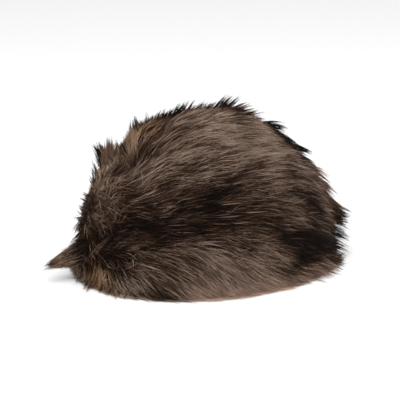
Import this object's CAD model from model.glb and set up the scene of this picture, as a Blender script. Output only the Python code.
import bmesh
import bpy
import numpy as np
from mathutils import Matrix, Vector


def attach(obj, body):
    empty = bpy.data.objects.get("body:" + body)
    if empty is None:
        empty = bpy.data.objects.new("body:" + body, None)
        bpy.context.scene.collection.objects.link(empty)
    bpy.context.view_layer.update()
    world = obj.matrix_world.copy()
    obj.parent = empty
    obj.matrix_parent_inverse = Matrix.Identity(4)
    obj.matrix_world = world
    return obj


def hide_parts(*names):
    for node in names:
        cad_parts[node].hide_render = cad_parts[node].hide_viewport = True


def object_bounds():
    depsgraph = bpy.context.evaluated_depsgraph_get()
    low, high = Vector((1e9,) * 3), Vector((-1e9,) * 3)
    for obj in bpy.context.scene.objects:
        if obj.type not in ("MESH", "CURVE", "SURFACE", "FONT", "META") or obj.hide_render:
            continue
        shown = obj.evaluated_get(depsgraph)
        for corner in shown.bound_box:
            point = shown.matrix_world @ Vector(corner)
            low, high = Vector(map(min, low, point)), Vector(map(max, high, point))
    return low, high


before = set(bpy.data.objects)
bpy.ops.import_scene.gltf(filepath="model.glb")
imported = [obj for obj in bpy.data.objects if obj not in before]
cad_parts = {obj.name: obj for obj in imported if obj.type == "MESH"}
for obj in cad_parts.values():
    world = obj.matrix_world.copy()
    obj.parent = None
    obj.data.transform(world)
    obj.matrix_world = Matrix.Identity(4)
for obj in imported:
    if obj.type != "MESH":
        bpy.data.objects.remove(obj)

# A deep fur cap: the pelt of its crown and cuff, and the hair that grows on them as joined
# strands. Lengths are in metres. X runs from the front of the cap to its back.

cadBox = [list(corner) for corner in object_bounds()]
# Numbers that the random draws of each coat start from
luckyNumbers = {"crown": 11, "wisps": 7, "cuff": 23}
luck = np.random.default_rng(luckyNumbers["crown"])

capShape = {
    "head": (0.098, 0.078, 0.118),  # hollow: half length, half width, height
    "wall": 0.008,  # crown's wall where the cuff goes round it
    "fur": (0.026, 0.0175, 0.021),  # fur outside that wall: ends, sides, top
    "tuftReach": 0.032,  # tuft's tip beyond the fur at the front
    "seamGap": 0.0003,
    "cuffHeight": 0.069,
    "creaseDepth": 0.016, "creaseWidth": 0.012,
    "rollHeight": 0.005, "rollWidth": 0.017,
    "browHeight": 0.007, "browWidth": 0.015,
    "frontFullness": 0.78, "backFullness": 1.0,  # 1 is an ellipse, less is fuller
    "seamDip": 0.005, "seamDipWidth": 0.007,
    "seamRadius": 0.12,  # metres over the fur for each radian up from the base
}

headHalf = np.array(capShape["head"])
wallHalf = headHalf + capShape["wall"]
furHalf = wallHalf + np.array(capShape["fur"])
middle = np.array([cadBox[0][0] + furHalf[0] + capShape["tuftReach"], 0.0, 0.0])

# Top of the cuff: angle in degrees from the front, height as a share of cuffHeight
cuffEdge = np.array([
    (0, 0.56), (38, 0.71), (52, 0.88), (68, 1.0), (82, 0.93),
    (97, 0.7), (112, 0.42), (135, 0.28), (180, 0.26),
])

# Lines of the folds: back, side and up as shares of the fur's half sizes, then the rise
crease = np.array([
    (-0.6, 0.3, 0.86, 0.25), (-0.67, 0.02, 0.82, 1), (-0.7, -0.16, 0.77, 0.8),
    (-0.5, -0.34, 0.85, 0.45), (-0.2, -0.5, 0.88, 0.1),
])
roll = np.array([
    (-0.88, -0.08, 0.56, 0.5), (-0.73, -0.34, 0.66, 1),
    (-0.45, -0.5, 0.78, 0.8), (-0.1, -0.6, 0.82, 0.1),
])
brow = np.array([(-0.54, 0.2, 0.9, 1), (-0.5, -0.02, 0.94, 0.8)])


def unit(vectors):
    return vectors / np.maximum(np.linalg.norm(vectors, axis=-1, keepdims=True), 1e-12)


def smooth(low, high, value):
    # Smooth step: 3 t squared - 2 t cubed, with t the clamped share of the way
    share = np.clip((value - low) / (high - low), 0, 1)
    return share * share * (3 - 2 * share)


def domeLength(half, way):
    # Distance from the middle of the base to the plain dome along a direction, found by
    # halving: the dome is where across = (1 - up squared) ^ (fullness / 2)
    across = np.hypot(way[..., 0] / half[0], way[..., 1] / half[1])
    up = way[..., 2] / half[2]
    toBack = 0.5 + 0.5 * way[..., 0] / half[0] / np.maximum(across, 1e-9)
    fullness = capShape["frontFullness"] * (1 - toBack) + capShape["backFullness"] * toBack
    near, far = np.zeros(across.shape), np.full(across.shape, 2 * half[0])
    halvings = 24
    for halving in range(halvings):
        halfway = (near + far) / 2
        left = np.clip(1 - (halfway * up) ** 2, 0, None)
        inside = (halfway * across < left ** (fullness / 2)) & (np.abs(halfway * up) < 1)
        near = np.where(inside, halfway, near)
        far = np.where(inside, far, halfway)
    return near


def nearLine(points, ends):
    # Nearest place on a bent line for each point: its distance, and the values that the line
    # carries there, mixed along each straight piece. The last columns of ends are the values.
    shape = points.shape[:-1]
    best = np.full(shape, np.inf)
    carried = np.zeros(shape + (ends.shape[1] - 3,))
    for start, stop in zip(ends[:-1], ends[1:]):
        along = stop[:3] - start[:3]
        share = np.clip((points - start[:3]) @ along / max(along @ along, 1e-12), 0, 1)
        away = np.linalg.norm(points - start[:3] - share[..., None] * along, axis=-1)
        closer = away < best
        best = np.where(closer, away, best)
        mixed = start[3:] + share[..., None] * (stop[3:] - start[3:])
        carried = np.where(closer[..., None], mixed, carried)
    return best, carried


def foldHeight(way):
    # How far the folds move the fur in or out: bell curves round the fold lines
    points = way * domeLength(furHalf, way)[..., None]
    height = np.zeros(points.shape[:-1])
    for line, rise, width in (
        (roll, capShape["rollHeight"], capShape["rollWidth"]),
        (brow, capShape["browHeight"], capShape["browWidth"]),
        (crease, -capShape["creaseDepth"], capShape["creaseWidth"]),
    ):
        ends = line * np.array([*furHalf, 1])
        away, share = nearLine(points, ends)
        height += rise * share[..., 0] * np.exp(-(away / width) ** 2)
    return height


def seamAngle(angle):
    # Elevation of the seam between cuff and crown, seen from the middle of the base
    degrees = np.abs(np.degrees(np.arctan2(np.sin(angle), np.cos(angle))))
    row = np.clip(np.searchsorted(cuffEdge[:, 0], degrees) - 1, 0, len(cuffEdge) - 2)
    low, high = cuffEdge[row], cuffEdge[row + 1]
    share = smooth(low[..., 0], high[..., 0], degrees)
    height = capShape["cuffHeight"] * (low[..., 1] + share * (high[..., 1] - low[..., 1]))
    flat = np.stack([-np.cos(angle), -np.sin(angle), np.zeros(np.shape(angle))], -1)
    return np.arctan2(height, domeLength(furHalf, flat))


def aboveSeam(way):
    # Distance over the surface from the seam, up the cap, in metres
    angle = np.arctan2(-way[..., 1], -way[..., 0])
    rise = np.arcsin(np.clip(way[..., 2], -1, 1)) - seamAngle(angle)
    return rise * capShape["seamRadius"]


def furPoint(way, inset):
    # Point of the fur's form along a direction, moved in by inset and dipped at the seam
    dip = capShape["seamDip"] * np.exp(-(aboveSeam(way) / capShape["seamDipWidth"]) ** 2)
    length = domeLength(furHalf, way) + foldHeight(way) - inset - dip
    return way * length[..., None]


def furNormal(way, inset=0.005, step=0.02):
    # Outward normal of the form, from the cross product of two small steps over it
    aside = unit(np.cross(way, (0.3, 0.2, 0.93)))
    across, along = (
        furPoint(unit(way + step * turn), inset) - furPoint(unit(way - step * turn), inset)
        for turn in (aside, np.cross(way, aside)))
    normal = unit(np.cross(across, along))
    return normal * np.sign((normal * way).sum(-1, keepdims=True))


photoView = {
    "azimuth": -25,  # degrees round the cap from its side
    "elevation": 20,  # degrees above the table
    "distance": 1.4,
    "pixelSize": 0.00095,  # metres a pixel at the middle of the cap's base
    "pixels": 400,
    "sensor": 36, "seen": (0.05, 20),
    "footX": 207.8,  # place of the middle of the cap's base in the photograph, in pixels
    "footY": 259.2,
}

azimuth, elevation = np.radians([photoView["azimuth"], photoView["elevation"]])
viewBack = np.array([np.sin(azimuth) * np.cos(elevation),
                     -np.cos(azimuth) * np.cos(elevation), np.sin(elevation)])
viewRight = np.array([np.cos(azimuth), np.sin(azimuth), 0])
viewUp = np.cross(viewBack, viewRight)
eye = viewBack * photoView["distance"]  # from the middle of the base


def addObject(name, data):
    thing = bpy.data.objects.new(name, data)
    bpy.context.scene.collection.objects.link(thing)
    return thing


def aimObject(thing, place, ahead):
    thing.location = Vector(place)
    thing.rotation_mode = "QUATERNION"
    thing.rotation_quaternion = Vector(ahead).to_track_quat("-Z", "Y")


def addCamera():
    half = photoView["pixels"] / 2
    aim = viewRight * (half - photoView["footX"]) + viewUp * (photoView["footY"] - half)
    data = bpy.data.cameras.new("photo camera")
    data.sensor_width = photoView["sensor"]
    widthSeen = photoView["pixelSize"] * photoView["pixels"]
    data.lens = photoView["sensor"] * photoView["distance"] / widthSeen
    data.clip_start, data.clip_end = photoView["seen"]
    camera = addObject("photo camera", data)
    aimObject(camera, eye + middle, aim * photoView["pixelSize"] - eye)
    bpy.context.scene.camera = camera


def photoRay(x, y):
    # Direction from the eye through a pixel of the photograph
    right = (np.asarray(x, float) - photoView["footX"]) * photoView["pixelSize"]
    up = (photoView["footY"] - np.asarray(y, float)) * photoView["pixelSize"]
    return unit(right[..., None] * viewRight + up[..., None] * viewUp - eye)


markInset = 0.002  # marks and guides lie this far in from the fur's form

# How a pixel's ray finds the fur: nearest and farthest depth from the eye and their number, then
# shares of the way to the pixel at the cap's middle and their number
rayPlan = {
    "depths": (1.18, 1.52, 90), "pulls": (0, 0.4, 41),
    "middleX": 210, "middleY": 225, "lowest": -0.004,
}


def onCap(x, y, inset=markInset):
    # Point of the fur's form seen at a pixel. Where the ray passes the cap, the pixel is moved
    # towards the cap's middle until it meets the form.
    x, y = np.asarray(x, float), np.asarray(y, float)
    found = np.full(x.shape + (3,), np.nan)
    depths = np.linspace(*rayPlan["depths"])
    for pull in np.linspace(*rayPlan["pulls"]):
        left = np.flatnonzero(np.isnan(found[:, 0]))
        if not len(left):
            break
        ray = photoRay(x[left] + pull * (rayPlan["middleX"] - x[left]),
                       y[left] + pull * (rayPlan["middleY"] - y[left]))
        spots = eye + depths[:, None, None] * ray[None]
        ways = unit(spots)
        form = domeLength(furHalf, ways) + foldHeight(ways) - inset
        inside = (np.linalg.norm(spots, axis=-1) < form) & (spots[..., 2] > rayPlan["lowest"])
        first = inside.argmax(0)
        met = spots[first, np.arange(len(left))]
        fresh = inside.any(0)
        found[left[fresh]] = met[fresh]
    return furPoint(unit(found), inset)


def onForm(shares):
    # Points of the fur's form over places given as shares of its half length and half width
    shares = np.asarray(shares, float)
    up = np.sqrt(np.clip(1 - (shares ** 2).sum(-1), 0.01, 1))
    return furPoint(unit(np.column_stack([shares, up]) * furHalf), markInset)


# The lie of the hair, read off the photograph by eye. Each row is a pixel, x and y, and the
# heading of the hair there in degrees: 0 is right and 90 is up.
crownLie = np.array([
    (180, 110, 14), (210, 106, 8), (240, 107, -5), (262, 117, -25),
    (137, 128, 58), (160, 125, 22), (190, 125, 6), (220, 125, -3), (245, 126, -20), (270, 128, -34),
    (124, 152, 78), (140, 143, 64), (160, 142, 24), (186, 142, 6), (210, 140, -6), (236, 142, 2),
    (262, 142, -13), (286, 143, -38),
    (104, 158, 96), (114, 162, 82), (141, 158, 56), (165, 158, 23), (192, 158, 13), (220, 157, 8),
    (250, 157, 6), (280, 157, -8), (303, 158, -28),
    (101, 174, 84), (120, 171, 27), (146, 171, 20), (176, 170, 14), (206, 170, 11), (236, 170, 15),
    (266, 170, 13), (292, 170, -12), (312, 175, -30),
    (92, 190, 20), (106, 187, 18), (130, 187, 14), (160, 187, 9), (190, 186, 12), (220, 186, 12),
    (250, 186, 6), (280, 186, 5), (306, 187, -12), (325, 188, -48),
    (82, 206, -65), (98, 204, -15), (118, 203, -2), (145, 202, 11), (175, 202, 18), (205, 202, 12),
    (235, 202, 9), (265, 202, 3), (291, 202, -10), (313, 202, -30), (335, 206, -50),
    (79, 222, -75), (100, 220, -18), (120, 218, -4), (150, 216, 4), (180, 217, 17), (210, 216, 8),
    (240, 217, 8), (266, 217, -5), (291, 217, -9), (312, 218, -28), (334, 220, -40),
    (78, 237, -90), (98, 233, -5), (122, 231, 8), (150, 230, 8), (180, 230, 5), (210, 230, -5),
    (240, 231, -8), (270, 232, -3), (300, 233, -16), (322, 236, -30), (340, 238, -22),
])
cuffLie = np.array([
    (80, 246, -100), (88, 252, -80), (97, 250, 55), (104, 249, 48), (112, 246, 42), (122, 240, 38),
    (121, 252, 14), (134, 243, 22), (150, 240, 16), (165, 236, 14),
    (82, 262, -100), (84, 280, -95), (95, 262, -95), (102, 268, -98), (98, 285, -92),
    (110, 266, -82), (112, 280, -80), (118, 265, -50), (122, 276, -60), (128, 288, -55),
    (124, 258, -12), (142, 258, -6), (140, 268, -24), (146, 280, -38), (156, 292, -34),
    (165, 250, 0), (168, 262, -14), (175, 274, -36), (182, 288, -36),
    (190, 238, -6), (195, 250, -14), (202, 262, -37), (206, 278, -46), (214, 292, -36),
    (222, 238, -12), (228, 250, -24), (232, 264, -36), (238, 278, -40), (246, 290, -30),
    (252, 246, -12), (258, 258, -18), (262, 272, -30), (268, 284, -26),
    (278, 250, -10), (284, 262, -17), (288, 274, -22), (304, 258, -14), (308, 272, -16),
    (324, 258, -18), (328, 268, -16), (342, 252, -20),
])

# Dark and light places: half width in metres, how much darker (below 0) or lighter the hair is
# there, and pixels along the line
toneMarks = {
    "back stripe": (0.01, -0.46, [(229, 184), (212, 189), (208, 198), (184, 204)]),
    "stripe end": (0.006, -0.38, [(257, 166), (242, 178)]),
    "back stripe low": (0.008, -0.42, [(218, 201), (229, 200)]),
    "side stripe": (0.005, -0.14, [(166, 208), (178, 206)]),
    "long stripe": (0.0115, -0.56, [(216, 216), (196, 220), (169, 229), (142, 226)]),
    "stripe start": (0.007, -0.14, [(130, 220), (118, 225)]),
    "roll top dusk": (0.008, -0.36, [(138, 170), (150, 171), (162, 166)]),
    "middle dusk": (0.007, -0.46, [(175, 175), (188, 171)]),
    "top dusk": (0.009, -0.3, [(184, 149), (206, 146)]),
    "upper dusk": (0.008, -0.2, [(198, 167), (212, 161), (240, 163), (254, 168)]),
    "middle light": (0.006, 0.28, [(184, 158), (202, 157)]),
    "front dusk": (0.008, -0.32, [(128, 209), (144, 212)]),
    "front roll dusk": (0.007, -0.15, [(104, 206), (114, 213)]),
    "front stripe": (0.008, -0.42, [(120, 236), (108, 237), (96, 236), (82, 240)]),
    "low stripe": (0.008, -0.36, [(204, 229), (236, 221), (256, 224), (276, 224)]),
    "low end": (0.008, -0.27, [(282, 236), (302, 243)]),
    "low stripe top": (0.005, -0.22, [(264, 213), (279, 211)]),
    "back dusk": (0.009, -0.34, [(244, 189), (260, 194), (256, 202), (244, 208)]),
    "end patch": (0.013, -0.58, [(303, 254), (318, 246), (334, 242)]),
    "end fall": (0.009, -0.46, [(305, 196), (315, 210), (324, 228), (304, 235), (286, 236)]),
    "end dusk": (0.012, -0.16, [(284, 158), (296, 178), (284, 204)]),
    "whorl": (0.01, -0.5, [(98, 262), (111, 250), (122, 257)]),
    "front end": (0.01, -0.62, [(88, 206), (81, 222), (78, 238), (84, 262)]),
    "front low end": (0.006, -0.25, [(88, 262), (94, 276)]),
    "valley": (0.009, -0.48, [(120, 171), (134, 167), (150, 159), (146, 148)]),
    "brow dusk": (0.01, -0.36, [(164, 116), (164, 134), (174, 132)]),
    "near edge": (0.005, -0.25, [(138, 124), (158, 115), (184, 108)]),
    "far edge": (0.007, -0.6, [(262, 118), (280, 134), (296, 150), (314, 168)]),
    "roll dusk": (0.01, -0.22, [(124, 190), (142, 196), (156, 194)]),
    "side dusk": (0.006, -0.08, [(158, 190), (176, 185)]),
    "roll light": (0.006, 0.18, [(98, 184), (120, 184)]),
    "top streak": (0.007, -0.28, [(226, 112), (243, 124)]),
    "cuff dusk": (0.007, -0.26, [(156, 238), (150, 254)]),
    "cuff middle light": (0.008, 0.13, [(206, 247), (206, 266), (224, 253)]),
    "cuff back dusk": (0.006, -0.24, [(234, 245), (246, 254)]),
    "cuff lock dusk": (0.006, -0.22, [(143, 265), (156, 267), (172, 272)]),
    "cuff end light": (0.008, 0.16, [(270, 246), (288, 254)]),
    "end hem": (0.007, -0.26, [(294, 258), (300, 268), (286, 274)]),
    "hem dusk": (0.007, -0.18, [(138, 286), (154, 290), (172, 294)]),
    "seam line": (0.004, -0.18, [(120, 245), (146, 246), (170, 245), (196, 241)]),
    "front low dusk": (0.005, -0.15, [(122, 277), (142, 279)]),
    "seam dusk": (0.006, -0.17, [(210, 230), (228, 238), (246, 242)]),
    "whorl light": (0.007, 0.16, [(126, 260), (150, 277)]),
    "front hem": (0.009, 0.34, [(84, 274), (102, 284), (124, 289), (142, 285)]),
    "crown light": (0.02, 0.18, [(206, 116), (220, 142), (252, 148), (276, 152)]),
    "side light": (0.005, 0.1, [(158, 173), (170, 172)]),
    "far top light": (0.012, 0.12, [(254, 124), (268, 146), (256, 157)]),
    "lobe light": (0.01, 0.5, [(104, 148), (106, 160)]),
    "lobe root": (0.006, 0.12, [(94, 182), (112, 182)]),
    "notch light": (0.008, 0.16, [(116, 158), (132, 152), (136, 132)]),
    "end light": (0.006, 0.16, [(288, 192), (291, 208)]),
    "back light": (0.005, 0.08, [(234, 200), (229, 217)]),
    "fan light": (0.004, 0.2, [(98, 256), (108, 246)]),
    "far light": (0.01, 0.5, [(314, 168), (334, 200)]),
    "cuff light": (0.013, 0.24, [(214, 270), (220, 264), (244, 266), (236, 284)]),
    "hem light": (0.013, 0.8, [(198, 300), (240, 297), (282, 289), (334, 272)]),
}

# The same along the cap's top, just past the outline that the photograph shows. Places are
# shares of the fur's half length and half width.
ridgeMarks = {
    "ridge front": (0.013, -0.42, [(-0.62, 0.2), (-0.42, 0.42), (-0.16, 0.5)]),
    "ridge back": (0.012, -0.38, [(0.0, 0.52), (0.22, 0.5), (0.4, 0.42)]),
    "far shoulder": (0.012, -0.34, [(0.56, 0.42), (0.72, 0.3), (0.86, 0.14)]),
    "far flank": (0.018, -0.2, [(-0.3, 0.72), (0.1, 0.8), (0.5, 0.74)]),
}

# Families of hues by number. Hair of the parted one is plain with a dark lower half.
families = {"plain": 0, "ochre": 1, "rosy": 2, "parted": 3}

# Places where the hair has another hue: half width, family, pixels
hueMarks = {
    "notch": (0.01, families["ochre"], [(118, 150), (130, 142), (150, 128)]),
    "front": (0.007, families["ochre"], [(98, 165), (90, 196)]),
    "fan": (0.01, families["ochre"], [(92, 274), (112, 282)]),
    "edge": (0.009, families["rosy"], [(196, 294), (240, 292), (282, 285), (336, 268)]),
}

# Places where the fur parts, so that hair that starts there shows its dark lower half: half
# width, chance of it, pixels
partingMarks = {
    "whorl parting": (0.009, 0.9, [(104, 258), (115, 257)]),
    "seam parting": (0.006, 0.8, [(92, 244), (86, 238)]),
}

# Pointed wisps that stand out past the fur's outline: root pixel, tip pixel, hairs, shade
wisps = np.array([
    (102, 168, 97, 151, 60, 0.1), (103, 164, 95, 142, 70, 0.1), (104, 158, 92, 144, 50, 0.1),
    (106, 168, 100, 138, 100, 0.72), (111, 164, 107, 137, 110, 0.7), (116, 160, 113, 138, 100, 0.65),
    (121, 158, 119, 144, 40, 0.55), (99, 182, 94, 162, 40, 0.5), (137, 137, 132, 117, 50, 0.4),
    (140, 134, 136, 116, 40, 0.38), (145, 130, 146, 115, 45, 0.3), (151, 126, 155, 113, 55, 0.08),
    (156, 122, 162, 110, 55, 0.06), (162, 119, 169, 108, 55, 0.06), (170, 115, 181, 105, 60, 0.06),
    (176, 113, 188, 102, 60, 0.08), (184, 112, 197, 102, 50, 0.3), (194, 111, 208, 102, 50, 0.4),
    (202, 109, 217, 102, 50, 0.3), (214, 108, 232, 96, 60, 0.22), (220, 109, 243, 99, 60, 0.3),
    (228, 110, 252, 103, 50, 0.4), (234, 112, 258, 107, 40, 0.4), (242, 115, 262, 111, 35, 0.25),
    (246, 118, 266, 117, 30, 0.4), (262, 120, 290, 129, 60, 0.08), (270, 124, 289, 131, 40, 0.08),
    (273, 130, 291, 138, 60, 0.08), (278, 134, 300, 148, 60, 0.08), (288, 143, 313, 155, 70, 0.1),
    (294, 147, 315, 156, 40, 0.12), (302, 154, 319, 168, 40, 0.5), (308, 162, 328, 177, 45, 0.7),
    (312, 170, 333, 186, 50, 0.7), (314, 177, 333, 195, 50, 0.65), (317, 186, 338, 204, 55, 0.6),
    (324, 199, 346, 213, 80, 0.5), (326, 203, 353, 217, 80, 0.42), (330, 211, 352, 219, 90, 0.4),
    (330, 214, 350, 221, 60, 0.35), (328, 216, 348, 227, 30, 0.2), (328, 222, 351, 233, 30, 0.15),
    (328, 230, 355, 242, 35, 0.1), (326, 240, 350, 251, 40, 0.08), (326, 248, 346, 258, 30, 0.16),
    (324, 256, 347, 266, 50, 0.4), (316, 262, 345, 273, 60, 0.8), (306, 268, 337, 278, 60, 0.8),
    (292, 272, 317, 281, 50, 0.8), (276, 277, 300, 286, 50, 0.75), (98, 190, 89, 177, 50, 0.5),
    (93, 205, 80, 197, 60, 0.5), (90, 214, 77, 206, 60, 0.5), (88, 222, 76, 220, 60, 0.5),
    (86, 222, 74, 232, 60, 0.4), (85, 232, 72, 245, 60, 0.35), (84, 238, 70, 248, 40, 0.6),
    (88, 268, 76, 280, 40, 0.6), (94, 276, 84, 289, 40, 0.6), (102, 281, 95, 293, 40, 0.6),
    (113, 285, 107, 296, 40, 0.6), (124, 288, 120, 298, 35, 0.6), (93, 258, 117, 233, 8, 0.7),
    (98, 252, 126, 234, 8, 0.66), (86, 250, 95, 264, 10, 0.6),
])
wispPlan = {
    "perSpike": 5,  # hairs that share a point
    "rootSpread": 3.2, "tipSpread": 2.2,  # of spikes, in pixels
    "rootBlur": 1.2, "tipBlur": 1.2, "hairBlur": 0.4,  # of single hairs, in pixels
    "reach": (0.78, 1.04), "shortest": 0.5,  # share of the way to the tip pixel
    "rootInset": 0.007, "depth": 0.005, "lowest": 0.0015, "leastFall": -0.05,
    "bow": 0.065,  # as a share of the length
    "width": 0.6, "rootColours": 0.4, "toneSpread": 0.1,
    "lightFrom": 0.45, "lightDarkTips": 0.15,  # shade over which most tips stay light
}

# Places where the hair lies closer to the skin: half width, share of its rise that it loses,
# pixels
flatMarks = {
    "notch wall": (0.015, 1.0, [(112, 160), (122, 148), (134, 124)]),
    "ear wall": (0.007, 0.5, [(100, 152), (97, 176)]),
    "near edge": (0.008, 0.5, [(144, 124), (158, 116), (174, 110)]),
    "far shoulder": (0.024, 1.0, [(262, 118), (286, 134), (302, 152), (322, 176), (334, 196)]),
    "back end": (0.013, 0.9, [(338, 230), (340, 256)]),
    "front foot": (0.012, 1.0, [(76, 268), (84, 282)]),
    "top": (0.008, 0.3, [(215, 104), (232, 106)]),
}

# Places where the hair lies in no order: half width, how many times more its headings vary,
# pixels
messMarks = {
    "front rise": (0.013, 2.2, [(90, 186), (96, 204), (92, 226)]),
    "whorl": (0.008, 1.2, [(104, 254), (118, 258)]),
    "notch": (0.009, 1.0, [(112, 156), (130, 150)]),
}

# Pointed tuft at the front of the cuff, in metres from the middle of the base
tuft = {
    "root": (-0.106, 0.0, 0.032), "tip": (-0.163, 0.0, 0.0165),
    "across": 0.012, "up": 0.0155,  # half sizes of its section
    "heart": 0.2,  # share of the section that no hair is in
    "taper": [(0, 1.0), (0.35, 0.8), (0.7, 0.42), (1, 0.05)],  # share of them along it
    "hairs": 900, "width": 0.8, "shade": 1.0, "shadeSpread": 0.2,
    "start": (-0.1, 0.62), "length": (0.25, 0.6), "end": (0.8, 1.04),  # of a hair, as shares
    "loose": (-0.2, 0.45),  # how far tips leave their place in the section
    "tipBlur": 0.0016, "bendBlur": 0.0007,
    "under": -0.3, "underLight": 0.25, "tipDark": 0.55, "rootDark": 0.4,
    "tipFrom": (0.86, 0.98), "rootTo": (0.78, 0.5),  # ends of the hairs that are darker
    "partedTo": 0.32, "ochreShare": 0.34, "darkTips": 0.12,
}


def markLines(marks, inPhoto=True):
    lines = []
    for width, value, path in marks.values():
        path = np.array(path, float)
        spots = onCap(path[:, 0], path[:, 1]) if inPhoto else onForm(path)
        carried = np.full((len(path), 1), float(value))
        lines.append((np.hstack([spots, carried]), width))
    return lines


def lieVectors(table):
    # Tangent of the form whose picture points along the heading, as the least squares answer
    # of two equations, with a small weight on its length for places seen edge on
    lengthWeight = 0.04
    spots = onCap(table[:, 0], table[:, 1])
    normal = furNormal(unit(spots))
    first = unit(np.cross(normal, viewBack))
    second = np.cross(normal, first)
    heading = np.radians(table[:, 2])
    wanted = np.stack([np.cos(heading), np.sin(heading)], -1)
    seen = np.stack([
        np.stack([first @ viewRight, second @ viewRight], -1),
        np.stack([first @ viewUp, second @ viewUp], -1),
    ], -2)
    turned = np.swapaxes(seen, -1, -2)
    parts = np.linalg.solve(turned @ seen + lengthWeight * np.eye(2),
                            turned @ wanted[..., None])[..., 0]
    return spots, unit(parts[:, :1] * first + parts[:, 1:] * second)


marks = {
    "tone": markLines(toneMarks), "ridge": markLines(ridgeMarks, False),
    "flat": markLines(flatMarks), "parting": markLines(partingMarks),
    "mess": markLines(messMarks), "hue": markLines(hueMarks),
}
mirror = np.array([1, -1, 1])

# How the lie is carried between the guides and over to the far side
liePlan = {
    "reach": 0.011,  # of a guide's bell curve, in metres
    "tail": 1e-7, "tailReach": 1e-4,  # weak weight far from all guides
    "facing": (0.12, -0.2),  # cosines between which the far side takes over
    "past": (0, 0.02),  # metres past the cap's middle over which it does so
    "meeting": np.array([0.6, 0, -1.0]),  # lie of the hair where the two sides meet
}


def hiddenShare(points, normal):
    # 0 on the side that the photograph shows, 1 on the far side, which repeats the near one
    facing = (normal * unit(eye - points)).sum(-1)
    return smooth(*liePlan["facing"], facing) * smooth(*liePlan["past"], points[..., 1])


def blendLie(points, lie):
    # The guides' directions, weighted by a bell curve of their distance and a weak tail
    spots, ways = lie
    gap = ((points[:, None] - spots[None]) ** 2).sum(-1)
    weight = np.exp(-gap / (2 * liePlan["reach"] ** 2))
    weight = weight + liePlan["tail"] / (gap + liePlan["tailReach"])
    return unit(weight @ ways)


def hairWay(points, normal, lie):
    # Where the two sides meet, the hair turns back and down instead of against itself
    hidden = hiddenShare(points, normal)[:, None]
    far = blendLie(points * mirror, lie) * mirror
    way = blendLie(points, lie) * (1 - hidden) + far * hidden
    way = way + liePlan["meeting"] * (4 * hidden * (1 - hidden))
    return unit(way - (way * normal).sum(-1, keepdims=True) * normal)


def marksAt(points, lines):
    # Sum of the marks at each point: each fades with distance as exp(-(d / width) ^ 3)
    total = np.zeros(len(points))
    for ends, width in lines:
        away, carried = nearLine(points, ends)
        total += carried[:, 0] * np.exp(-(away / width) ** 3)
    return total


def markValue(points, normal, lines):
    # The same, with the near side's marks repeated on the far side
    hidden = hiddenShare(points, normal)
    return marksAt(points, lines) * (1 - hidden) + marksAt(points * mirror, lines) * hidden


hairPlan = {
    "tufts": 620,  # large locks whose hairs lean together
    "clumps": 5600,  # small pointed locks
    "hairs": {"crown": 33000, "cuff": 16000},
    "lengths": {"crown": 0.034, "cuff": 0.038},
    "tries": {"crown": 1.7, "cuff": 3.2},  # roots drawn over the whole cap for each one kept
    "pieces": {"crown": 4, "cuff": 2},
    "seamOverlap": 0.0005,
    "steps": 3,  # straight pieces from root to tip
    "rootWidth": 0.00115, "widthRange": (0.7, 1.2),
    "lengthRange": (0.5, 1.5), "riseRange": (0.7, 1.25), "risePower": 1.7,
    "inset": 0.0085,  # roots of the hair, in from the fur's form
    "depth": 0.002,  # that they start below it
    "rise": 0.0075,  # height that the hair's middle reaches over the roots
    "leastRise": 0.004,  # brings flat hair out over the pelt, whose skin its roots are under
    "mostFlat": 0.85,  # share of its rise that a flat mark can take
    "wildShare": 0.08, "wildFlick": 2.4,  # hairs that stand out, and how much more they flick
    "tuftPull": 0.4, "tuftPower": 1.4,  # of clumps to their tuft
    "clumpPull": 0.7, "clumpPower": 1.2, "pullRange": (0.55, 1.1), "mostPull": 0.95,
    "looseShare": 0.08, "loosePull": 0.2,  # hairs that hardly lean on their clump
}
# Tufts, clumps and hairs: spread of their headings in degrees, of their flicks in metres and of
# their lengths as a share, and how much their tone varies
hairLayers = [(10, 0.003, 0.14, 0.1), (14, 0.004, 0.2, 0.19), (13, 0.004, 0.22, 0.26)]

underPlan = {
    "count": 9200, "length": (0.009, 0.016), "rise": (0.004, 0.0075), "turn": 38,
    "flick": (0, 0.002), "tone": -0.06, "toneSpread": 0.16, "steps": 2,
    "frontCount": 1500, "frontTries": 12,
    "frontLength": (0.014, 0.022), "frontRise": (0.006, 0.0085),
    "frontTo": -0.55, "frontHalfWidth": 0.6, "frontTop": 0.75,  # parts of a unit direction
}


def scatter(count, leastFacing=0.35):
    # Directions spread evenly over the form: drawn evenly on the half sphere, then kept with a
    # chance that grows with the area that the form has there
    kept = []
    while sum(len(part) for part in kept) < count:
        height = luck.uniform(0, 1, 4 * count)
        turn = luck.uniform(0, 2 * np.pi, 4 * count)
        flat = np.sqrt(1 - height ** 2)
        way = np.stack([flat * np.cos(turn), flat * np.sin(turn), height], -1)
        facing = (furNormal(way) * way).sum(-1)
        area = domeLength(furHalf, way) ** 2 / np.maximum(facing, leastFacing)
        kept.append(way[luck.uniform(0, area.max(), len(way)) < area])
    return np.concatenate(kept)[:count]


def turnAbout(vectors, axis, angle):
    # Rodrigues: v cos a + (axis x v) sin a, for vectors square to the axis
    return vectors * np.cos(angle)[:, None] + np.cross(axis, vectors) * np.sin(angle)[:, None]


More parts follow.
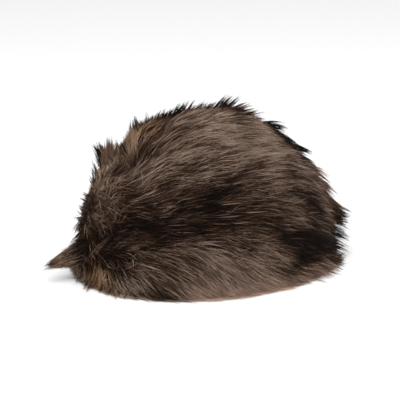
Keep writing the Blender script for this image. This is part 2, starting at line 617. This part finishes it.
def growSpines(way, lie, length, rise, swing, flick, steps):
    # A spine steps over the form along the lie of the hair, and lifts off it: height =
    # rise (1 - (1 - t) ^ power) + flick t cubed - depth, so its root is under the skin
    spines = []
    inset = hairPlan["inset"]
    point = furPoint(way, inset)
    for step in range(steps + 1):
        share = step / steps
        here = unit(point)
        normal = furNormal(here, inset)
        height = rise * (1 - (1 - share) ** hairPlan["risePower"])
        height = height + flick * share ** 3 - hairPlan["depth"]
        spines.append(point + normal * height[:, None])
        ahead = turnAbout(hairWay(point, normal, lie), normal, swing * (0.5 + share))
        point = furPoint(unit(point + ahead * (length / steps)[:, None]), inset)
    return np.stack(spines, 1)


def nearest(points, targets, size=2000):
    # Number of the nearest target for each point, in blocks that fit in memory
    found = []
    for start in range(0, len(points), size):
        block = points[start:start + size]
        gap = (block ** 2).sum(-1)[:, None] - 2 * block @ targets.T + (targets ** 2).sum(-1)
        found.append(gap.argmin(1))
    return np.concatenate(found)


def lean(spines, leaders, pull, power):
    # Draws each spine towards its leader, more and more to the tip
    share = np.linspace(0, 1, spines.shape[1]) ** power
    return spines + (leaders - spines) * (np.reshape(pull, (-1, 1)) * share)[..., None]


def placeValue(way, lines):
    # What the marks add up to at the fur in each direction
    return markValue(furPoint(way, markInset), furNormal(way, markInset), lines)


def growCoat(part, lie, plan):
    # The coat of one part: large tufts, small clumps that lean on them, and hairs that lean on
    # the clumps. Returns the directions of the roots, the spines, and the tone of each hair.
    count = plan["hairs"][part]
    share = count / sum(plan["hairs"].values())
    amounts = (int(plan["tufts"] * share), int(plan["clumps"] * share), count)
    side = -1 if part == "cuff" else 1
    wild = plan["wildShare"]
    layers = []
    for amount, (turns, flicks, lengths, contrast) in zip(amounts, hairLayers):
        way = scatter(int(amount * plan["tries"][part]))
        way = way[side * aboveSeam(way) > -plan["seamOverlap"]][:amount]
        amount = len(way)
        upright = 1 - np.minimum(placeValue(way, marks["flat"]), plan["mostFlat"])
        flick = np.abs(luck.normal(0, flicks, amount)) * upright
        length = np.clip(luck.normal(1, lengths, amount), *plan["lengthRange"])
        rise = plan["rise"] * luck.uniform(*plan["riseRange"], amount) * upright
        swing = np.radians(luck.normal(0, turns, amount))
        swing = swing * (1 + placeValue(way, marks["mess"]))
        flick = flick * luck.choice([1, plan["wildFlick"]], amount, p=[1 - wild, wild])
        spines = growSpines(way, lie, plan["lengths"][part] * length,
                            np.maximum(rise, plan["leastRise"]), swing, flick, plan["steps"])
        layers.append((way, spines, contrast * luck.normal(0, 1, amount)))
    (_, tufts, tuftTone), (_, clumps, clumpTone), (way, hairs, hairTone) = layers
    tuftOf = nearest(clumps[:, 0], tufts[:, 0])
    clumps = lean(clumps, tufts[tuftOf], plan["tuftPull"], plan["tuftPower"])
    clumpOf = nearest(hairs[:, 0], clumps[:, 0])
    pull = plan["clumpPull"] * luck.uniform(*plan["pullRange"], len(hairs))
    loose = luck.uniform(0, 1, len(hairs)) < plan["looseShare"]
    pull = np.minimum(np.where(loose, plan["loosePull"], pull), plan["mostPull"])
    hairs = lean(hairs, clumps[clumpOf], pull, plan["clumpPower"])
    return way, hairs, tuftTone[tuftOf[clumpOf]] + clumpTone[clumpOf] + hairTone


def underHairs(plan, lie):
    # Short hair all over, at many angles, which shows where the long hair parts
    way = scatter(plan["count"])
    amount = len(way)
    spines = growSpines(
        way, lie, luck.uniform(*plan["length"], amount), luck.uniform(*plan["rise"], amount),
        np.radians(luck.normal(0, plan["turn"], amount)), luck.uniform(*plan["flick"], amount),
        plan["steps"])
    # More of it, in every direction, on the front, where the coats of the two sides part
    front = scatter(plan["frontCount"] * plan["frontTries"])
    front = front[(front[:, 0] < plan["frontTo"]) & (np.abs(front[:, 1]) < plan["frontHalfWidth"])
                  & (front[:, 2] < plan["frontTop"])][:plan["frontCount"]]
    amount = len(front)
    more = growSpines(
        front, lie, luck.uniform(*plan["frontLength"], amount),
        luck.uniform(*plan["frontRise"], amount), np.radians(luck.uniform(-180, 180, amount)),
        luck.uniform(*plan["flick"], amount), plan["steps"])
    spines = np.concatenate([spines, more])
    return spines, plan["toneSpread"] * luck.normal(0, 1, len(spines)) + plan["tone"]


def wispHairs(rows, plan, steps):
    # Hairs of the wisps, a few to each spike: each runs from near its root pixel to near its tip
    # pixel, on rays whose depth goes from that of the fur at the root to that of the fur nearest
    # the tip, and bows out between them. A tip that would be under the table lies on it.
    counts = rows[:, 4].astype(int)
    owner = np.repeat(np.arange(len(rows)), counts)
    total = len(owner)
    within = np.arange(total) - np.repeat(np.cumsum(counts) - counts, counts)
    spike = np.unique(owner * total + within // plan["perSpike"], return_inverse=True)[1]
    spikes = spike.max() + 1
    spread = luck.normal(0, 1, (spikes, 2))[spike]
    root = rows[owner, 0:2] + plan["rootSpread"] * spread
    root = root + luck.normal(0, plan["rootBlur"], (total, 2))
    tip = rows[owner, 2:4] + plan["tipSpread"] * spread
    tip = tip + luck.normal(0, plan["tipBlur"], (spikes, 2))[spike]
    tip = tip + luck.normal(0, plan["hairBlur"], (total, 2))
    reach = luck.uniform(*plan["reach"], spikes)[spike]
    reach = reach * luck.uniform(plan["shortest"], 1, total) ** 0.5
    tip = root + (tip - root) * reach[:, None]
    start = onCap(root[:, 0], root[:, 1], plan["rootInset"])
    near = onCap(tip[:, 0], tip[:, 1])
    ray = photoRay(tip[:, 0], tip[:, 1])
    end = eye + ray * ((near - eye) * ray).sum(-1, keepdims=True)
    onTable = eye + ray * ((plan["lowest"] - eye[2]) / np.minimum(ray[:, 2:], plan["leastFall"]))
    end = end + ray * luck.normal(0, plan["depth"], (spikes, 1))[spike]
    end = np.where(end[:, 2:] < plan["lowest"], onTable, end)
    share = np.linspace(0, 1, steps + 1)[:, None, None]
    bow = unit(start) * (np.linalg.norm(end - start, axis=-1, keepdims=True) * plan["bow"])
    spines = start + (end - start) * share + bow * np.sin(np.pi * share)
    tone = rows[owner, 5] + plan["toneSpread"] * luck.normal(0, 1, total)
    return np.swapaxes(spines, 0, 1), tone


def tuftHairs(plan, steps):
    # Hairs of the tuft: each starts somewhere along its axis, keeps its own place in the oval
    # section, and runs on towards the tip as the section narrows
    total = plan["hairs"]
    root, tip = np.array(plan["root"]), np.array(plan["tip"])
    turn = luck.uniform(0, 2 * np.pi, total)
    radius = luck.uniform(plan["heart"], 1, total) ** 0.5
    start = luck.uniform(*plan["start"], total)
    end = np.minimum(start + luck.uniform(*plan["length"], total),
                     luck.uniform(*plan["end"], total))
    share = np.linspace(0, 1, steps + 1)[:, None]
    along = start + (end - start) * share
    places, sizes = np.array(plan["taper"]).T
    loose = 1 + luck.uniform(*plan["loose"], total) * share ** 2
    size = np.interp(along, places, sizes) * radius * loose
    section = (plan["across"] * np.cos(turn)[:, None] * np.array([0, 1, 0])
               + plan["up"] * np.sin(turn)[:, None] * np.array([0, 0, 1]))
    spines = root + (tip - root) * along[..., None] + size[..., None] * section
    spines = np.swapaxes(spines, 0, 1)
    spines[:, -1] += luck.normal(0, plan["tipBlur"], (total, 3))
    spines[:, -2] += luck.normal(0, plan["bendBlur"], (total, 3))
    shade = plan["shade"] + plan["shadeSpread"] * luck.normal(0, 1, total)
    shade += plan["underLight"] * (np.sin(turn) < plan["under"])
    shade -= plan["tipDark"] * smooth(*plan["tipFrom"], end)
    shade -= plan["rootDark"] * smooth(*plan["rootTo"], end)
    ochre = luck.uniform(0, 1, total) < plan["ochreShare"]
    family = np.where(ochre, families["ochre"], families["plain"])
    return spines, shade, np.where(start < plan["partedTo"], families["parted"], family)


def hairFaces(steps):
    # Corners of one hair's faces: squares between its rings, then triangles at its tip and root
    corner = np.arange(3)
    after = (corner + 1) % 3
    square = np.stack([corner, after, after + 3, corner + 3], -1)
    squares = (square + 3 * np.arange(steps - 1)[:, None, None]).reshape(-1, 4)
    tip = np.stack([corner - 3, after - 3, np.zeros(3, int)], -1) + 3 * steps
    return squares, np.vstack([tip, (2, 1, 0)])


mapName = "OFBake"  # the exporter keeps a map of this name

# The three-sided tube of each hair
tubePlan = {
    "floor": 0.0012, "splayed": 0.012, "splay": 0.22,  # hair below it goes out over the table
    "lowest": 0.0003,
    "plain": 0.55, "bulge": 0.45, "bulgeEnd": 0.625,  # width, and the bulge in the root's part
    "narrowing": 0.72, "narrowFrom": (0.4, 1.1),
    "thickness": 0.8,  # as a share of the width
    "patchiness": 0.06, "shadeRange": (0.01, 0.99), "mapHalf": 0.003, "mapEdge": 0.03,
    "lightReach": (0.6, 0.8),  # share of its colours that a hair without a dark tip ends at
}


def addPiece(name, mesh):
    piece = addObject(name, mesh)
    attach(piece, "root")
    return piece


def tubePoints(spines, width, plan):
    # A closed tube round each spine: a ring of three corners at each bend, then the tip. Its half
    # width is w (plain + bulge sin(pi t / end)), narrowed by a smooth step of t along the hair.
    spines = spines.copy()
    below = np.clip(plan["floor"] - spines[..., 2], 0, plan["splayed"])
    spines[..., :2] += unit(spines[..., :2]) * plan["splay"] * below[..., None]
    spines[..., 2] = np.maximum(spines[..., 2], plan["floor"])
    count, steps = len(spines), spines.shape[1] - 1
    share = np.linspace(0, 1, steps + 1)[:-1]
    ahead = np.empty((count, steps, 3))
    ahead[:, 0] = spines[:, 1] - spines[:, 0]
    ahead[:, 1:] = spines[:, 2:] - spines[:, :-2]
    ahead = unit(ahead)
    side = unit(np.cross(ahead, unit(spines[:, :-1])))
    out = np.cross(side, ahead)
    bulge = np.sin(np.pi * np.minimum(share / plan["bulgeEnd"], 1))
    half = np.reshape(width, (-1, 1)) / 2 * (plan["plain"] + plan["bulge"] * bulge)
    half = half * (1 - plan["narrowing"] * smooth(*plan["narrowFrom"], share))
    rings = []
    for turn in np.radians([90, 210, 330]):
        offset = side * np.cos(turn) + out * np.sin(turn) * plan["thickness"]
        rings.append(spines[:, :-1] + offset * half[..., None])
    points = np.stack(rings, 2).reshape(count, steps * 3, 3)
    points = np.concatenate([points, spines[:, -1:]], 1)
    points[..., 2] = np.maximum(points[..., 2], plan["lowest"])
    return points


def tubeMap(count, steps, shade, family, darkTips, first, plan):
    # Where each corner lies in the map. Across it is the shade, and up it are the colours from
    # root to tip, in a row for each family. A hair that stops short of the last quarter of its
    # colours has no dark tip, and first is the share of them that it leaves out at the root.
    along = np.append(np.repeat(np.linspace(0, 1, steps + 1)[:-1], 3), 1.0)
    aside = np.append(np.tile([-1.0, 0.0, 1.0], steps), 0.0) * plan["mapHalf"]
    patchy = plan["patchiness"] * luck.normal(0, 1, (count, steps + 1))
    patchy = patchy[:, np.append(np.repeat(np.arange(steps), 3), steps)]
    across = np.clip(shade[:, None] + patchy, *plan["shadeRange"]) + aside[None]
    reach = np.where(luck.uniform(0, 1, count) < darkTips, 1.0,
                     luck.uniform(*plan["lightReach"], count))
    place = first + (reach[:, None] - first) * along[None]
    edge = plan["mapEdge"]
    row = np.reshape(family, (-1, 1)) + edge + (1 - 2 * edge) * place
    return np.stack([across, row / len(families)], -1)


def hairPiece(name, spines, width, shade, family, material, slot, darkTips=0.5, first=0.0):
    # The tubes of many hairs in one mesh
    count, steps = len(spines), spines.shape[1] - 1
    points = tubePoints(spines, width, tubePlan)
    places = tubeMap(count, steps, shade, family, darkTips, first, tubePlan)
    squares, triangles = hairFaces(steps)
    start = (np.arange(count) * points.shape[1])[:, None, None]
    corners = np.concatenate([(squares[None] + start).reshape(count, -1),
                              (triangles[None] + start).reshape(count, -1)], 1).ravel()
    sizes = np.tile(np.append(np.full(len(squares), 4), np.full(len(triangles), 3)), count)
    mesh = bpy.data.meshes.new(name)
    mesh.vertices.add(count * points.shape[1])
    mesh.vertices.foreach_set("co", (points + middle).astype(np.float32).ravel())
    mesh.loops.add(len(corners))
    mesh.loops.foreach_set("vertex_index", corners.astype(np.int32))
    mesh.polygons.add(len(sizes))
    mesh.polygons.foreach_set("loop_start", (np.cumsum(sizes) - sizes).astype(np.int32))
    layer = mesh.uv_layers.new(name=mapName)
    places = places.reshape(-1, 2)[corners]
    layer.data.foreach_set("uv", places.astype(np.float32).ravel())
    mesh.polygons.foreach_set("use_smooth", np.ones(len(sizes), bool))
    mesh.update(calc_edges=True)
    mesh.validate()
    mesh.materials.append(material)
    addPiece(name, mesh)
    print(name, "hairs", count, "triangles", int((sizes - 2).sum()))


# The cap grows darker from its top to its seam, and the cuff is a little lighter again
shadePlan = {
    "base": 0.56, "top": 0.2, "topFrom": (0.35, 0.75),  # shares of the cap's height
    "cuff": 0.1, "cuffFrom": (0.002, -0.004),  # metres above the seam
    "lowest": 0.006,
}


def hairShade(spines, tone, plan=shadePlan):
    # Shade from the marks and the chance of each hair, and the family of its nearest hue mark,
    # both taken at the part of the hair that shows
    way = spines[:, -2].copy()
    way[:, 2] = np.maximum(way[:, 2], plan["lowest"])
    way = unit(way)
    spots = furPoint(way, markInset)
    normal = furNormal(way, markInset)
    shade = plan["base"] + plan["top"] * smooth(*plan["topFrom"], spots[:, 2] / furHalf[2])
    shade += plan["cuff"] * smooth(*plan["cuffFrom"], aboveSeam(way))
    shade += markValue(spots, normal, marks["tone"]) + tone + marksAt(spots, marks["ridge"])
    family = np.zeros(len(way))
    for line, width in marks["hue"]:
        chance = markValue(spots, normal, [(np.column_stack([line[:, :3], np.ones(len(line))]), width)])
        family = np.where(luck.uniform(0, 1, len(way)) < chance, line[0, 3], family)
    parted = placeValue(unit(spines[:, 0]), marks["parting"])
    parted = luck.uniform(0, 1, len(way)) < parted
    return shade, np.where(parted, families["parted"], family)


def newMaterial(name, roughness, specular):
    material = bpy.data.materials.new(name)
    material.use_nodes = True
    tree = material.node_tree
    inputs = tree.nodes["Principled BSDF"].inputs
    inputs["Roughness"].default_value = roughness
    inputs["Specular IOR Level"].default_value = specular
    return material, tree, inputs


def join(tree, value, socket):
    # Sets a socket to a number or a colour, or links it to another socket
    if isinstance(value, (int, float)):
        socket.default_value = value
    elif isinstance(value, tuple):
        socket.default_value = (*value, 1)
    else:
        tree.links.new(value, socket)


def ramp(tree, share, stops):
    node = tree.nodes.new("ShaderNodeValToRGB")
    while len(node.color_ramp.elements) < len(stops):
        node.color_ramp.elements.new(0.5)
    for element, (place, colour) in zip(node.color_ramp.elements, stops):
        element.position = place
        element.color = (*colour, 1)
    tree.links.new(share, node.inputs[0])
    return node.outputs[0]


def fade(tree, value, ends):
    # Falls from 1 to 0 between two values
    return ramp(tree, value, [(ends[0], (1, 1, 1)), (ends[1], (0, 0, 0))])


def maths(tree, operation, *values, clamp=False):
    node = tree.nodes.new("ShaderNodeMath")
    node.operation = operation
    node.use_clamp = clamp
    for socket, value in zip(node.inputs, values):
        join(tree, value, socket)
    return node.outputs[0]


def mixColour(tree, share, first, second, blend="MIX"):
    node = tree.nodes.new("ShaderNodeMix")
    node.data_type = "RGBA"
    node.blend_type = blend
    for number, value in ((0, share), (6, first), (7, second)):  # its sockets for colours
        join(tree, value, node.inputs[number])
    return node.outputs[2]


def newGroup(name, inputs, outputs):
    # Empty node group with named sockets, and the sockets on its inside
    group = bpy.data.node_groups.new(name, "ShaderNodeTree")
    for way, sockets in (("INPUT", inputs), ("OUTPUT", outputs)):
        for label, kind in sockets.items():
            group.interface.new_socket(name=label, in_out=way, socket_type=f"NodeSocket{kind}")
    return group, group.nodes.new("NodeGroupInput").outputs, group.nodes.new("NodeGroupOutput").inputs


def useGroup(tree, group, **values):
    node = tree.nodes.new("ShaderNodeGroup")
    node.node_tree = group
    for label, value in values.items():
        join(tree, value, node.inputs[label])
    return node.outputs


hairLook = {
    "shades": [(0.0, (0.007, 0.0036, 0.0026)), (0.25, (0.025, 0.0118, 0.0074)),
               (0.5, (0.074, 0.038, 0.0228)), (0.75, (0.172, 0.1035, 0.069)),
               (1.0, (0.43, 0.315, 0.245))],
    "root": (0.009, 0.005, 0.0035), "rootBand": (0.15, 0.6), "partingBand": (0.4, 0.78),
    "tip": (0.008, 0.0055, 0.0045), "tipStrength": 0.85,
    "tipFrom": 0.55, "tipByShade": 0.35, "tipSlope": 6.0,  # lighter hair has a shorter dark tip
    "hues": {"ochre": (0.96, 0.86, 0.66), "rosy": (1.2, 1.12, 1.11)},  # multiply their families
    "roughness": 0.6, "specular": 0.06,
}


def hairColourGroup(look):
    # Shade makes a hair darker or lighter. Place goes from the root to the tip, over again for
    # each family of hues.
    tree, given, made = newGroup(
        "hair colour", {"Shade": "Float", "Place": "Float"}, {"Colour": "Color"})
    rows = maths(tree, "MULTIPLY", given["Place"], len(families))
    family = maths(tree, "FLOOR", rows)
    along = maths(tree, "FRACT", rows)

    def isFamily(name):
        return maths(tree, "COMPARE", family, families[name], 0.5)

    dark = maths(tree, "MULTIPLY", isFamily("parted"), fade(tree, along, look["partingBand"]))
    dark = maths(tree, "MAXIMUM", fade(tree, along, look["rootBand"]), dark)
    colour = mixColour(tree, dark, ramp(tree, given["Shade"], look["shades"]), look["root"])
    start = maths(tree, "MULTIPLY", given["Shade"], look["tipByShade"])
    start = maths(tree, "ADD", start, look["tipFrom"])
    tip = maths(tree, "SUBTRACT", along, start)
    tip = maths(tree, "MULTIPLY", tip, look["tipSlope"], clamp=True)
    tip = maths(tree, "MULTIPLY", tip, look["tipStrength"])
    colour = mixColour(tree, tip, colour, look["tip"])
    for name, hue in look["hues"].items():
        tinted = mixColour(tree, 1.0, colour, hue, "MULTIPLY")
        colour = mixColour(tree, isFamily(name), colour, tinted)
    tree.links.new(colour, made["Colour"])
    return tree


def hairMaterial(name, group):
    material, tree, inputs = newMaterial(name, hairLook["roughness"], hairLook["specular"])
    place = tree.nodes.new("ShaderNodeUVMap")
    place.uv_map = mapName
    split = tree.nodes.new("ShaderNodeSeparateXYZ")
    tree.links.new(place.outputs[0], split.inputs[0])
    made = useGroup(tree, group, Shade=split.outputs[0], Place=split.outputs[1])
    tree.links.new(made["Colour"], inputs["Base Color"])
    return material


skinLook = {
    "underfur": (0.022, 0.014, 0.009), "leather": (0.32, 0.22, 0.15),
    "stretch": (60, 420, 420),  # grains in a metre along X, Y and Z
    "detail": 6, "band": (0.35, 0.65), "dark": 0.35, "bump": 0.002,
    "roughness": 0.85, "specular": 0.08,
}


def skinGrainGroup(look):
    # A colour with darker grain in it, and the grain as a bump
    tree, given, made = newGroup(
        "skin grain", {"Colour": "Color"}, {"Colour": "Color", "Normal": "Vector"})
    place = tree.nodes.new("ShaderNodeTexCoord")
    stretch = tree.nodes.new("ShaderNodeMapping")
    stretch.inputs["Scale"].default_value = look["stretch"]
    tree.links.new(place.outputs["Object"], stretch.inputs[0])
    noise = tree.nodes.new("ShaderNodeTexNoise")
    noise.inputs["Scale"].default_value = 1
    noise.inputs["Detail"].default_value = look["detail"]
    tree.links.new(stretch.outputs[0], noise.inputs["Vector"])
    low, high = look["band"]
    shades = ramp(tree, noise.outputs["Fac"], [(low, (look["dark"],) * 3), (high, (1, 1, 1))])
    tree.links.new(mixColour(tree, 1.0, given["Colour"], shades, "MULTIPLY"), made["Colour"])
    bump = tree.nodes.new("ShaderNodeBump")
    bump.inputs["Distance"].default_value = look["bump"]
    tree.links.new(noise.outputs["Fac"], bump.inputs["Height"])
    tree.links.new(bump.outputs[0], made["Normal"])
    return tree


def peltMaterial(name, colour, group):
    material, tree, inputs = newMaterial(name, skinLook["roughness"], skinLook["specular"])
    made = useGroup(tree, group, Colour=colour)
    tree.links.new(made["Colour"], inputs["Base Color"])
    tree.links.new(made["Normal"], inputs["Normal"])
    return material


peltPlan = {
    "columns": 96, "crownRows": 40, "insideRows": 20, "cuffRows": 14,
    "crowding": 1.1,  # of the crown's rows towards the seam
    "inset": 0.0075,  # skin, in from the fur's form
    "seamRoom": 0.003,  # radians that each skin keeps from the seam
    "lift": 0.0015,  # crown's foot above the table
}
peltAngle = np.arange(peltPlan["columns"]) / peltPlan["columns"] * 2 * np.pi


def wayOf(angle, rise):
    return np.stack([-np.cos(angle) * np.cos(rise), -np.sin(angle) * np.cos(rise),
                     np.sin(rise) * np.ones(np.shape(angle))], -1)


def ringPiece(name, rings, materials, innerFrom):
    # Rings of points joined one to the next and the last to the first. A ring whose points all
    # lie at one place is a pole.
    grid = np.stack(rings)
    rows, columns = grid.shape[:2]
    row, column = np.meshgrid(np.arange(rows), np.arange(columns), indexing="ij")
    nextRow, nextColumn = (row + 1) % rows, (column + 1) % columns
    faces = np.stack([row * columns + column, row * columns + nextColumn,
                      nextRow * columns + nextColumn, nextRow * columns + column], -1)
    mesh = bpy.data.meshes.new(name)
    mesh.from_pydata((grid.reshape(-1, 3) + middle).tolist(), [], faces.reshape(-1, 4).tolist())
    for material in materials:
        mesh.materials.append(material)
    inner = np.repeat((np.arange(rows) >= innerFrom).astype(np.int32), columns)
    mesh.polygons.foreach_set("material_index", inner)
    mesh.polygons.foreach_set("use_smooth", np.ones(len(inner), bool))
    edit = bmesh.new()
    edit.from_mesh(mesh)
    bmesh.ops.remove_doubles(edit, verts=edit.verts, dist=1e-6)
    bmesh.ops.dissolve_degenerate(edit, edges=edit.edges, dist=1e-7)
    bmesh.ops.recalc_face_normals(edit, faces=edit.faces)
    edit.to_mesh(mesh)
    edit.free()
    return addPiece(name, mesh)


def addCrownPelt(fur, leather):
    angle, room = peltAngle, peltPlan["seamRoom"]
    seam = seamAngle(angle)
    lift = np.array([0, 0, peltPlan["lift"]])
    flat = wayOf(angle, np.zeros(len(angle)))
    rings = [flat * domeLength(wallHalf, flat)[:, None] + lift]
    for share in (0.5, 1.0):
        way = wayOf(angle, (seam - room) * share)
        rings.append(way * domeLength(wallHalf, way)[:, None])
    for row in range(peltPlan["crownRows"] + 1):
        share = (row / peltPlan["crownRows"]) ** peltPlan["crowding"]
        way = wayOf(angle, seam + room + (np.pi / 2 - seam - room) * share)
        rings.append(furPoint(way, peltPlan["inset"]))
    inner = len(rings)
    for row in range(peltPlan["insideRows"], -1, -1):
        way = wayOf(angle, np.full(len(angle), row / peltPlan["insideRows"] * np.pi / 2))
        length = domeLength(headHalf, way) + np.minimum(0, foldHeight(way)) / 2
        rings.append(way * length[:, None])
    rings[-1] = rings[-1] + lift
    piece = ringPiece("crown_pelt", rings, [fur, leather], inner - 1)
    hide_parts("crown")


def addCuffPelt(fur):
    seam = seamAngle(peltAngle) - peltPlan["seamRoom"]
    around = wallHalf + capShape["seamGap"]
    rings = []
    for row in range(peltPlan["cuffRows"] + 1):
        way = wayOf(peltAngle, seam * row / peltPlan["cuffRows"])
        rings.append(furPoint(way, peltPlan["inset"]))
    for share in (1.0, 0.5, 0.0):
        way = wayOf(peltAngle, seam * share)
        rings.append(way * domeLength(around, way)[:, None])
    piece = ringPiece("cuff_pelt", rings, [fur], len(rings))
    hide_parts("cuff")


studio = {
    "floorHalf": 6, "floorColour": (0.93, 0.93, 0.93, 1), "floorFinish": (0.9, 0.5),  # roughness, specular
    "skyPower": 0.82, "aim": (0, 0, 0.07),
    # Place, size and power of each lamp
    "lamps": {"key": ((-0.5, -0.7, 1.5), 1.4, 19), "fill": ((0.9, -1.2, 0.9), 1.2, 8)},
}


def addStage():
    mesh = bpy.data.meshes.new("floor")
    half = studio["floorHalf"]
    mesh.from_pydata([(-half, -half, 0), (half, -half, 0), (half, half, 0), (-half, half, 0)],
                     [], [(0, 1, 2, 3)])
    material, _, inputs = newMaterial("pale floor", *studio["floorFinish"])
    inputs["Base Color"].default_value = studio["floorColour"]
    mesh.materials.append(material)
    floor = addObject("floor", mesh)


def addLights():
    world = bpy.data.worlds.new("studio")
    world.use_nodes = True
    sky = world.node_tree.nodes["Background"].inputs
    sky[0].default_value = (1, 1, 1, 1)
    sky[1].default_value = studio["skyPower"]
    bpy.context.scene.world = world
    for name, (place, size, power) in studio["lamps"].items():
        data = bpy.data.lights.new(name, "AREA")
        data.shape = "DISK"
        data.size = size
        data.energy = power
        aimObject(addObject(name, data), place, Vector(studio["aim"]) - Vector(place))
    bpy.context.scene.view_settings.view_transform = "Standard"


addCamera()
addStage()
addLights()
print("studio made")

skinGrain = skinGrainGroup(skinLook)
underfur = peltMaterial("underfur", skinLook["underfur"], skinGrain)
leather = peltMaterial("pelt leather", skinLook["leather"], skinGrain)
addCrownPelt(underfur, leather)
addCuffPelt(underfur)
print("pelts made")

hairColour = hairColourGroup(hairLook)
for part, table in (("crown", crownLie), ("cuff", cuffLie)):
    luck = np.random.default_rng(luckyNumbers[part])
    lie = lieVectors(table)
    coat = hairMaterial(f"{part} guard hair", hairColour)
    slot = f"{part}_fur"
    rootWidth = hairPlan["rootWidth"]
    way, hairs, tone = growCoat(part, lie, hairPlan)
    shade, family = hairShade(hairs, tone)
    width = rootWidth * luck.uniform(*hairPlan["widthRange"], len(hairs))
    if part == "crown":
        extra, tone = underHairs(underPlan, lie)
        hairPiece("under_hair", extra, rootWidth, *hairShade(extra, tone), coat, slot)
        luck = np.random.default_rng(luckyNumbers["wisps"])
        extra, tone = wispHairs(wisps, wispPlan, hairPlan["steps"] + 1)
        darkTips = np.where(tone > wispPlan["lightFrom"], wispPlan["lightDarkTips"], 1.0)
        hairPiece("crown_wisps", extra, rootWidth * wispPlan["width"], tone, families["plain"], coat,
                  slot, darkTips, wispPlan["rootColours"])
    else:
        extra, tone, hue = tuftHairs(tuft, hairPlan["steps"])
        hairPiece("front_tuft", extra, rootWidth * tuft["width"], tone, hue, coat, slot,
                  tuft["darkTips"])
    # The pieces of a coat go from front to back, those of the photographed side first
    order = np.argsort(np.where(way[:, 1] < 0, 0, 1) + 0.001 * way[:, 0])
    for group, chosen in enumerate(np.array_split(order, hairPlan["pieces"][part])):
        hairPiece(f"{part}_hair_{group + 1}", hairs[chosen], width[chosen], shade[chosen],
                  family[chosen], coat, slot)
print("hair made")
